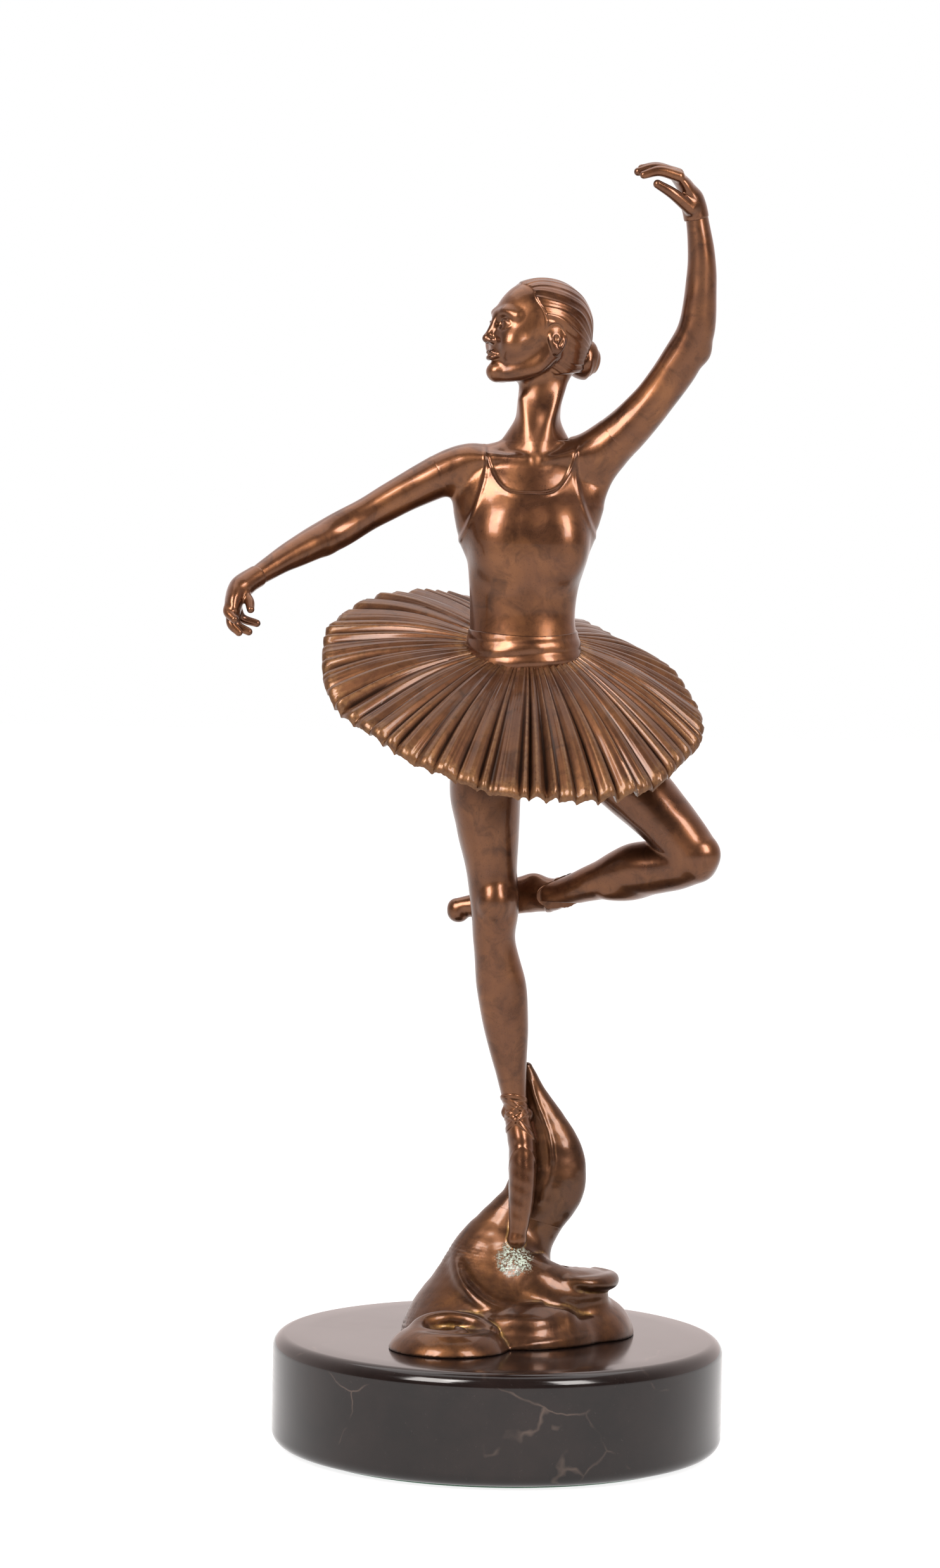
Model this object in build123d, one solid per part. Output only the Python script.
from build123d import *
import math
import os

# A bronze dancer on one pointed foot, cast in sections, on a round marble plinth.
# Frame: +X to the viewer's right, +Y away from the viewer, +Z up.
# The origin is the centre of the felt under the plinth. All lengths are millimetres.

# ---- plinth and its fixings ----
PLINTH_DIAMETER = 120.0
PLINTH_THICKNESS = 30.0  # with the felt
PLINTH_EDGE_RADIUS = 3.5
FELT_DIAMETER = 108.0
FELT_THICKNESS = 1.0
STUD_RADIUS = 3.0
STUD_HOLE_RADIUS = 3.6
STUD_GRIP = 10.0
COUNTERBORE_RADIUS = 11.0
COUNTERBORE_DEPTH = 10.0
WASHER_RADIUS = 9.0
WASHER_THICKNESS = 1.6
NUT_ACROSS_FLATS = 10.0
NUT_THICKNESS = 5.0
STUD_X, STUD_Y = 2.0, 0.0
STOP_PIN_RADIUS = 1.5
STOP_PIN_LENGTH = 12.0
STOP_PIN_X, STOP_PIN_Y = -14.0, -14.0
STUD_BEYOND_NUT = 1.4

# ---- brazed joints ----
DOWEL_RADIUS = 1.2
DOWEL_LENGTH = 9.0

# ---- skirt ----
SKIRT_PLEATS = 44
SKIRT_THICKNESS = 2.0
SKIRT_ROOT_X, SKIRT_ROOT_HEIGHT = 3.2, 212.6
SKIRT_ROOT_HALF_WIDTH, SKIRT_ROOT_HALF_DEPTH = 13.6, 10.0
SKIRT_ROOT_LEAN = 5.0
SKIRT_RIM_RADIUS = 50.8
SKIRT_RIM_HEIGHT = 198.2
SKIRT_TILT_FRONT = 29.0
SKIRT_TILT_RIGHT = 6.0
SKIRT_PLEAT_DEPTH = 1.5
SKIRT_PLEAT_DEPTH_AT_WAIST = 0.25  # as a share of the depth at the rim
SKIRT_SWELL = 2.4
SKIRT_RINGS = (0.0, 0.45, 1.0)
SKIRT_RISES = [(138, 5.4, 4), (195, 1.8, 2), (225, 2.2, 3)]  # towards, by how much, how narrowly

# ---- the body's centrelines: x, y, z, half width, half depth ----
STANDING_LEG = [
    (-4.6, 1.0, 194.0, 9.6, 10.2),
    (-6.2, 0.5, 178.0, 9.6, 10.4),
    (-5.4, 0.0, 166.5, 8.5, 9.4),
    (-4.1, -0.3, 154.5, 6.8, 7.8),
    (-3.1, -0.8, 143.0, 6.4, 7.0),
    (-3.0, 0.6, 134.0, 5.6, 6.6),
    (-0.9, 2.2, 122.5, 6.7, 7.0),
    (0.6, 2.4, 112.0, 5.9, 6.2),
    (2.2, 2.0, 100.0, 4.0, 4.4),
    (3.4, 1.6, 92.0, 3.1, 3.6),
    (4.4, 1.4, 86.0, 3.2, 4.2),
]
STANDING_FOOT = [
    (4.4, 1.4, 86.0, 3.2, 4.2),
    (5.5, 1.0, 81.0, 3.6, 5.2),
    (5.8, -0.4, 74.0, 3.8, 5.0),
    (5.7, -1.4, 66.0, 3.6, 4.4),
    (5.0, -2.2, 59.0, 2.9, 3.2),
    (4.5, -2.6, 54.5, 2.0, 2.2),
]
RAISED_LEG = [
    (12.4, 1.0, 195.0, 10.2, 10.0),
    (21.0, -2.0, 188.0, 9.4, 9.6),
    (31.5, -6.0, 178.6, 8.4, 8.8),
    (41.4, -10.0, 168.8, 7.2, 7.4),
    (48.2, -13.0, 161.4, 6.5, 6.6),
    (50.0, -12.6, 157.0, 6.0, 6.4),
    (45.0, -10.2, 155.8, 6.2, 6.4),
    (34.0, -4.4, 155.0, 6.9, 6.9),
    (25.0, 0.6, 152.0, 5.0, 5.4),
    (17.0, 5.6, 149.0, 4.0, 4.4),
    (11.8, 8.8, 147.4, 4.1, 4.2),
]
RAISED_FOOT = [
    (11.8, 8.8, 147.4, 4.1, 4.2),
    (6.0, 12.0, 147.4, 5.0, 4.2),
    (-1.0, 13.8, 145.4, 4.2, 4.0),
    (-8.0, 14.8, 143.0, 3.6, 3.6),
    (-13.0, 15.4, 141.8, 2.8, 2.8),
    (-15.6, 15.7, 141.4, 1.8, 1.8),
]
LOWERED_ARM = [
    (-5.0, 0.2, 261.4, 3.6, 5.0),
    (-11.0, 0.0, 261.6, 5.0, 6.0),
    (-18.0, -0.6, 259.4, 5.7, 6.2),
    (-28.4, -1.6, 254.2, 5.0, 5.4),
    (-38.6, -3.0, 248.2, 4.5, 4.9),
    (-47.4, -6.4, 242.9, 4.7, 4.7),
    (-54.0, -12.0, 239.2, 4.2, 4.3),
    (-61.0, -18.4, 235.0, 3.3, 3.5),
    (-67.4, -24.4, 230.4, 2.5, 2.8),
]
RAISED_ARM = [
    (8.0, 0.2, 256.6, 4.4, 5.0),
    (15.0, 0.0, 261.4, 6.2, 6.2),
    (22.4, -0.6, 266.4, 6.6, 6.4),
    (29.8, -2.0, 272.7, 5.8, 5.8),
    (36.5, -4.4, 280.1, 5.0, 5.2),
    (42.3, -6.8, 288.2, 5.4, 5.2),
    (46.4, -8.8, 297.0, 5.0, 4.9),
    (47.4, -10.6, 306.0, 4.3, 4.4),
    (47.4, -12.4, 316.6, 3.6, 3.8),
    (45.6, -14.0, 327.4, 2.9, 3.1),
]
WAIST_JOINT = (3.2, 0.0, 209.0)
TORSO = [
    (3.4, 0.2, 205.0, 16.2, 12.2),
    (2.9, 0.0, 216.5, 14.0, 10.6),
    (2.7, 0.0, 223.0, 13.7, 10.3),
    (2.9, -0.2, 231.0, 14.3, 11.0),
    (3.6, -0.6, 239.0, 15.9, 12.6),
    (4.4, -0.6, 246.0, 17.6, 13.4),
    (4.8, -0.2, 252.6, 18.0, 12.2),
    (5.0, 0.2, 258.5, 16.4, 10.0),
    (5.0, 0.6, 263.0, 12.4, 8.2),
    (5.4, 1.0, 267.0, 8.0, 6.8),
]
PELVIS = [
    (3.0, 0.0, 213.0, 14.4, 10.9),
    (3.6, 0.6, 201.0, 17.2, 12.8),
    (3.9, 1.2, 193.0, 17.0, 13.0),
    (4.0, 1.4, 186.0, 12.6, 10.6),
    (4.0, 1.4, 182.5, 6.0, 6.0),
]
NECK = [
    (5.4, 1.0, 267.0, 8.0, 6.8),
    (5.6, 1.4, 271.0, 6.4, 6.2),
    (5.9, 1.8, 277.0, 6.0, 6.2),
    (6.8, 2.2, 284.0, 6.0, 6.4),
    (7.2, 1.6, 289.0, 5.0, 5.4),
]
HEAD_CENTRE = (5.2, 0.2, 297.6)
HEAD_TURN = 65.0
HEAD_LIFT = 8.0
SKULL_HALF_SIZE = (13.8, 10.8, 13.4)
JAW_PLACE, JAW_HALF_SIZE = (5.6, 0.0, -6.8), (6.8, 6.8, 9.2)
NOSE_PLACE, NOSE_LENGTH, NOSE_LEAN = (12.8, 0.0, -2.8), 4.8, 20.0
NOSE_WIDE_RADIUS, NOSE_NARROW_RADIUS = 1.9, 0.8
BUN_CENTRE = (19.4, 6.4, 293.0)
BUN_RADIUS = 5.2
SHOULDER_CUT_LOWERED = (-20.0, -0.8, 258.4)
SHOULDER_CUT_RAISED = (26.4, -1.4, 269.8)
STANDING_HIP_JOINT = (-5.4, 0.8, 186.4)
RAISED_HIP_JOINT = (18.6, -1.2, 190.0)
SASH_THICKNESS = 0.9
SASH_LOW, SASH_HIGH = (3.2, 0.0, 207.6), (3.0, 0.0, 217.0)

FINGERTIP_ROUNDING = [(0.55, 0.8), (0.95, 0.35)]

# ---- hands: each finger is a run of x, y, z, radius ----
RAISED_PALM = [
    (45.6, -14.0, 327.4, 2.9, 3.1),
    (44.4, -14.8, 331.4, 2.9, 3.6),
    (42.4, -15.6, 335.4, 2.2, 4.3),
    (39.8, -16.2, 337.8, 1.7, 4.2),
]
RAISED_FINGERS = [
    [(40.4, -19.4, 337.4, 1.5), (35.6, -20.2, 338.2, 1.35), (31.2, -20.8, 337.4, 1.1)],
    [(40.2, -17.2, 338.0, 1.6), (34.8, -18.0, 339.0, 1.4), (29.8, -18.4, 338.2, 1.1)],
    [(40.2, -15.0, 338.2, 1.5), (35.4, -15.8, 339.8, 1.35), (31.0, -16.2, 339.6, 1.1)],
    [(40.4, -12.8, 338.0, 1.4), (36.6, -13.4, 339.6, 1.2), (33.0, -13.8, 339.8, 1.0)],
]
RAISED_THUMB = [(43.6, -18.0, 329.6, 1.7), (38.6, -20.2, 332.6, 1.5), (34.8, -21.0, 335.2, 1.1)]
LOWERED_PALM = [
    (-67.4, -24.4, 230.4, 2.5, 2.8),
    (-71.0, -27.0, 228.0, 2.8, 3.4),
    (-72.0, -29.4, 224.6, 2.6, 3.8),
    (-72.2, -30.6, 221.8, 2.2, 3.8),
]
LOWERED_FINGERS = [
    [(-72.6, -29.6, 224.6, 1.3), (-73.4, -32.6, 221.8, 1.3), (-71.6, -34.6, 219.8, 1.1)],
    [(-72.4, -29.4, 223.2, 1.4), (-72.6, -31.0, 218.8, 1.3), (-70.6, -31.6, 216.4, 1.0)],
    [(-72.0, -28.8, 223.0, 1.4), (-71.6, -28.6, 218.6, 1.3), (-67.4, -29.0, 216.6, 1.0)],
    [(-71.6, -28.2, 223.6, 1.3), (-70.2, -26.6, 220.2, 1.2), (-67.2, -26.4, 218.8, 1.0)],
]
LOWERED_THUMB = [(-70.4, -27.6, 227.0, 1.4), (-67.4, -30.4, 224.6, 1.3), (-67.6, -32.8, 222.4, 1.0)]

# ---- ground and crest ----
MOUND = [
    (3.0, 2.0, 30.0, 27.0, 27.0),
    (2.4, 3.0, 40.0, 21.5, 21.0),
    (1.4, 4.0, 50.0, 15.6, 14.0),
    (2.6, 5.0, 58.0, 11.4, 9.6),
    (4.2, 5.6, 66.0, 7.4, 6.6),
    (5.0, 6.0, 71.0, 4.4, 4.6),
]
CREST = [
    (10.0, 5.0, 56.0, 6.6, 6.0),
    (12.2, 5.4, 63.0, 8.6, 6.2),
    (13.6, 6.0, 71.0, 9.4, 5.6),
    (12.4, 6.8, 81.0, 8.4, 4.8),
    (9.4, 7.4, 91.0, 5.4, 3.6),
    (6.6, 7.2, 99.0, 2.6, 2.0),
    (5.8, 7.0, 102.5, 1.0, 1.0),
]
LIP = [
    (-14.4, -6.0, 49.0, 1.8, 1.8),
    (-12.0, -14.0, 43.6, 2.4, 2.4),
    (-5.0, -20.6, 39.6, 2.6, 2.6),
    (6.0, -22.4, 37.4, 2.6, 2.6),
    (18.0, -18.4, 36.4, 2.4, 2.4),
]
SHELF_CENTRE, SHELF_SIZE = (21.0, 3.0, 44.4), (11.0, 10.4, 3.6)
RIGHT_LOBE_CENTRE, RIGHT_LOBE_SIZE = (22.0, 6.0, 30.0), (15.0, 19.0, 11.0)
SCROLL_CENTRE, SCROLL_SIZE = (-13.0, -23.4, 30.0), (16.2, 15.0, 8.0)
SCROLL_GROOVE_RADIUS, SCROLL_GROOVE_HALF_WIDTH, SCROLL_GROOVE_SINK = 7.6, 1.3, 0.4

# ---- how rounded forms are divided, and how far cutting blocks reach ----
EGG_LATITUDES = (-80, -60, -35, 0, 35, 60, 80)
LIMB_REACH = 60.0
BODY_REACH = 200.0


def plane_along(point, direction):
    """A plane across a limb; its local x lies in the XZ plane, its local y follows the depth."""
    along = Vector(*direction).normalized()
    across = along.cross(Vector(0, 1, 0)).normalized()
    return Plane(origin=Vector(*point), x_dir=across, z_dir=along)


def limb(stations):
    """A smooth solid through ellipses set square to a centreline."""
    points = [Vector(*station[:3]) for station in stations]
    sections = []
    for number, station in enumerate(stations):
        before = points[max(number - 1, 0)]
        after = points[min(number + 1, len(points) - 1)]
        plane = plane_along(station[:3], tuple(after - before))
        sections.append(plane * Ellipse(station[3], station[4]))
    return loft(sections)


def blob(size):
    """A smooth egg with the given half sizes, centred on the origin, flattened a little at its poles."""
    wide, deep, high = size
    shares = [math.sin(math.radians(angle)) for angle in EGG_LATITUDES]
    rounds = [math.sqrt(1 - share**2) for share in shares]
    return limb([(0, 0, high * share, wide * r, deep * r) for share, r in zip(shares, rounds)])


def finger(joints):
    """A finger: round stations along it, and two more that round off its tip."""
    stations = [(x, y, z, r, r) for x, y, z, r in joints]
    tip, radius = Vector(*joints[-1][:3]), joints[-1][3]
    onward = (tip - Vector(*joints[-2][:3])).normalized()
    for ahead, share in FINGERTIP_ROUNDING:
        point = tip + onward * radius * ahead
        stations.append((*point, radius * share, radius * share))
    return limb(stations)


def outer_side(point, direction, reach=LIMB_REACH):
    """A large block on the far side of a cut across a limb."""
    plane = plane_along(point, direction)
    return plane * Pos(0, 0, reach / 2) * Box(reach, reach, reach)


def direction_at(stations, number):
    """The centreline's direction at one station."""
    before, after = Vector(*stations[number - 1][:3]), Vector(*stations[number + 1][:3])
    return tuple(after - before)


def dowel(point, direction):
    """A round dowel centred on a brazed joint."""
    return plane_along(point, direction) * Cylinder(DOWEL_RADIUS, DOWEL_LENGTH)


def single(shape):
    """The largest solid of a boolean result."""
    return max(shape.solids(), key=lambda solid: solid.volume)


# ---- plinth and fixings ----
def make_plinth():
    marble = PLINTH_THICKNESS - FELT_THICKNESS
    disc = Pos(0, 0, FELT_THICKNESS + marble / 2) * Cylinder(PLINTH_DIAMETER / 2, marble)
    disc = fillet(disc.edges().filter_by(GeomType.CIRCLE), PLINTH_EDGE_RADIUS)
    centre = Pos(STUD_X, STUD_Y, 0)
    hole = centre * Pos(0, 0, PLINTH_THICKNESS / 2) * Cylinder(STUD_HOLE_RADIUS, PLINTH_THICKNESS)
    counterbore = centre * Pos(0, 0, COUNTERBORE_DEPTH / 2) * Cylinder(
        COUNTERBORE_RADIUS, COUNTERBORE_DEPTH
    )
    return single(disc - hole - counterbore - stop_pin())


def felt_pad():
    return Pos(0, 0, FELT_THICKNESS / 2) * Cylinder(FELT_DIAMETER / 2, FELT_THICKNESS)


def stop_pin():
    return Pos(STOP_PIN_X, STOP_PIN_Y, PLINTH_THICKNESS) * Cylinder(STOP_PIN_RADIUS, STOP_PIN_LENGTH)


def stud():
    low = COUNTERBORE_DEPTH - WASHER_THICKNESS - NUT_THICKNESS - STUD_BEYOND_NUT
    length = PLINTH_THICKNESS + STUD_GRIP - low
    return Pos(STUD_X, STUD_Y, low + length / 2) * Cylinder(STUD_RADIUS, length)


def washer():
    middle = COUNTERBORE_DEPTH - WASHER_THICKNESS / 2
    ring = Cylinder(WASHER_RADIUS, WASHER_THICKNESS) - Cylinder(STUD_RADIUS, WASHER_THICKNESS)
    return Pos(STUD_X, STUD_Y, middle) * ring


def nut():
    low = COUNTERBORE_DEPTH - WASHER_THICKNESS - NUT_THICKNESS
    profile = RegularPolygon(NUT_ACROSS_FLATS / 2, 6, major_radius=False) - Circle(STUD_RADIUS)
    return Pos(STUD_X, STUD_Y, low) * extrude(profile, NUT_THICKNESS)


# ---- skirt ----
def skirt_point(angle, share, ridge):
    """A point of the skirt's upper face: share 0 at the waist, 1 at the rim; ridge -1 to 1."""
    cos_a, sin_a = math.cos(angle), math.sin(angle)
    root = Vector(
        SKIRT_ROOT_X + SKIRT_ROOT_HALF_WIDTH * cos_a,
        SKIRT_ROOT_HALF_DEPTH * sin_a,
        SKIRT_ROOT_HEIGHT + SKIRT_ROOT_LEAN * sin_a,
    )
    front = math.radians(SKIRT_TILT_FRONT)
    right = math.radians(SKIRT_TILT_RIGHT)
    rise = 0.0
    for towards, height, narrowness in SKIRT_RISES:
        rise += height * max(0.0, math.cos(angle - math.radians(towards))) ** narrowness
    rim = Vector(
        SKIRT_RIM_RADIUS * cos_a * math.cos(right),
        SKIRT_RIM_RADIUS * sin_a * math.cos(front),
        SKIRT_RIM_HEIGHT
        + SKIRT_RIM_RADIUS * sin_a * math.sin(front)
        - SKIRT_RIM_RADIUS * cos_a * math.sin(right)
        + rise,
    )
    swell = SKIRT_SWELL * math.sin(math.pi * share)
    grow = SKIRT_PLEAT_DEPTH_AT_WAIST + (1 - SKIRT_PLEAT_DEPTH_AT_WAIST) * share
    lift = swell + SKIRT_PLEAT_DEPTH * ridge * grow
    up = Vector(math.sin(right), -math.sin(front), math.cos(front)).normalized()
    return root * (1 - share) + rim * share + up * lift


def make_skirt(body_core):
    """Pleats radiating from the waist, built of flat facets between ridges and valleys."""
    count = 2 * SKIRT_PLEATS
    tilt = math.radians(SKIRT_TILT_FRONT)
    up = Vector(0, -math.sin(tilt), math.cos(tilt))
    top = []
    for number in range(count):
        angle = 2 * math.pi * number / count
        ridge = 1 if number % 2 else -1
        top.append([skirt_point(angle, share, ridge) for share in SKIRT_RINGS])
    under = [[point - up * SKIRT_THICKNESS for point in row] for row in top]
    faces = []

    def add(a, b, c):
        faces.append(Face(Wire.make_polygon([a, b, c], close=True)))

    def add_quad(a, b, c, d):
        add(a, b, c)
        add(a, c, d)

    last = len(SKIRT_RINGS) - 1
    for number in range(count):
        after = (number + 1) % count
        for ring in range(last):
            add_quad(top[number][ring], top[number][ring + 1], top[after][ring + 1], top[after][ring])
            add_quad(under[number][ring], under[after][ring], under[after][ring + 1], under[number][ring + 1])
        add_quad(top[number][last], under[number][last], under[after][last], top[after][last])
        add_quad(top[number][0], top[after][0], under[after][0], under[number][0])
    return single(Solid(Shell(faces)) - body_core)


# ---- castings ----
def make_head():
    skull = blob(SKULL_HALF_SIZE)
    jaw = Pos(*JAW_PLACE) * blob(JAW_HALF_SIZE)
    nose_cone = Cone(NOSE_WIDE_RADIUS, NOSE_NARROW_RADIUS, NOSE_LENGTH)
    nose = Pos(*NOSE_PLACE) * Rot(0, -NOSE_LEAN, 0) * nose_cone
    head = skull + jaw + nose
    turned = Pos(*HEAD_CENTRE) * Rot(0, 0, 270 - HEAD_TURN) * Rot(0, -HEAD_LIFT, 0) * head
    return turned + limb(NECK)


def make_hand(palm, fingers, thumb):
    hand = limb(palm)
    for joints in [*fingers, thumb]:
        hand += finger(joints)
    return hand


def make_ground():
    ground = limb(MOUND)
    ground += Pos(*SHELF_CENTRE) * blob(SHELF_SIZE)
    ground += Pos(*RIGHT_LOBE_CENTRE) * blob(RIGHT_LOBE_SIZE)
    scroll = Pos(*SCROLL_CENTRE) * blob(SCROLL_SIZE)
    x, y, z = SCROLL_CENTRE
    groove_height = z + SCROLL_SIZE[2] - SCROLL_GROOVE_SINK
    groove = Pos(x, y, groove_height) * Torus(SCROLL_GROOVE_RADIUS, SCROLL_GROOVE_HALF_WIDTH)
    ground += scroll - groove
    ground += limb(LIP)
    return ground & outer_side((0, 0, PLINTH_THICKNESS), (0, 0, 1), BODY_REACH)


lowered_direction = direction_at(LOWERED_ARM, 2)
raised_direction = direction_at(RAISED_ARM, 3)
lowered_whole, raised_whole = limb(LOWERED_ARM), limb(RAISED_ARM)
lowered_outside = outer_side(SHOULDER_CUT_LOWERED, lowered_direction)
raised_outside = outer_side(SHOULDER_CUT_RAISED, raised_direction)

joints = [
    (SHOULDER_CUT_LOWERED, lowered_direction),
    (SHOULDER_CUT_RAISED, raised_direction),
    (NECK[0][:3], (0, 0, 1)),
    (WAIST_JOINT, (0, 0, 1)),
    (STANDING_HIP_JOINT, (0, 0, 1)),
    (RAISED_HIP_JOINT, direction_at(RAISED_LEG, 1)),
]
dowels = Compound(children=[single(dowel(point, direction)) for point, direction in joints])

# Each casting is cut back to the ones it is fitted against, so that they meet face to face.
upper_side = outer_side(WAIST_JOINT, (0, 0, 1), BODY_REACH)
lower_side = outer_side(WAIST_JOINT, (0, 0, -1), BODY_REACH)
pelvis = limb(PELVIS) & lower_side
torso_core = limb(TORSO) & upper_side
torso = torso_core + (lowered_whole - lowered_outside) + (raised_whole - raised_outside)
leg_core = limb(STANDING_LEG)
standing_leg = leg_core - pelvis
raised_leg = limb(RAISED_LEG) - pelvis - leg_core
raised_shoe = limb(RAISED_FOOT) - leg_core - raised_leg
standing_shoe = limb(STANDING_FOOT) - leg_core

sash_outer = limb([(x, y, z, w + SASH_THICKNESS, d + SASH_THICKNESS) for x, y, z, w, d in TORSO[:3]])
sash_outer = sash_outer & outer_side(SASH_LOW, (0, 0, 1), BODY_REACH)
sash_outer = sash_outer & outer_side(SASH_HIGH, (0, 0, -1), BODY_REACH)
waist_sash = sash_outer - torso_core - pelvis
tutu_skirt = make_skirt(sash_outer + torso_core + pelvis)

head = make_head() - torso
hair_bun = Pos(*BUN_CENTRE) * Sphere(BUN_RADIUS) - head

raised_arm = raised_whole & raised_outside
lowered_arm = lowered_whole & lowered_outside
raised_hand = make_hand(RAISED_PALM, RAISED_FINGERS, RAISED_THUMB) - raised_arm
lowered_hand = make_hand(LOWERED_PALM, LOWERED_FINGERS, LOWERED_THUMB) - lowered_arm

ground_mound = make_ground() - standing_shoe - stud() - stop_pin()
wave_crest = limb(CREST) - ground_mound - standing_shoe - leg_core

nodes = {
    "torso": torso - dowels,
    "pelvis": pelvis - dowels,
    "standing_leg": standing_leg - dowels,
    "raised_leg": raised_leg - dowels,
    "raised_shoe": raised_shoe,
    "standing_shoe": standing_shoe,
    "waist_sash": waist_sash,
    "tutu_skirt": tutu_skirt,
    "head": head - dowels,
    "hair_bun": hair_bun,
    "lowered_arm": lowered_arm - dowels,
    "raised_arm": raised_arm - dowels,
    "raised_hand": raised_hand,
    "lowered_hand": lowered_hand,
    "ground_mound": ground_mound,
    "wave_crest": wave_crest,
    "marble_plinth": make_plinth(),
    "felt_pad": felt_pad(),
    "fixing_stud": stud(),
    "fixing_washer": washer(),
    "fixing_nut": nut(),
    "turn_stop_pin": stop_pin(),
}
os.makedirs("parts", exist_ok=True)
for name, shape in nodes.items():
    export_step(single(shape), f"parts/{name}.step")
    print(name, "volume", round(single(shape).volume), "solids", len(shape.solids()))
export_step(dowels, "parts/locating_dowels.step")
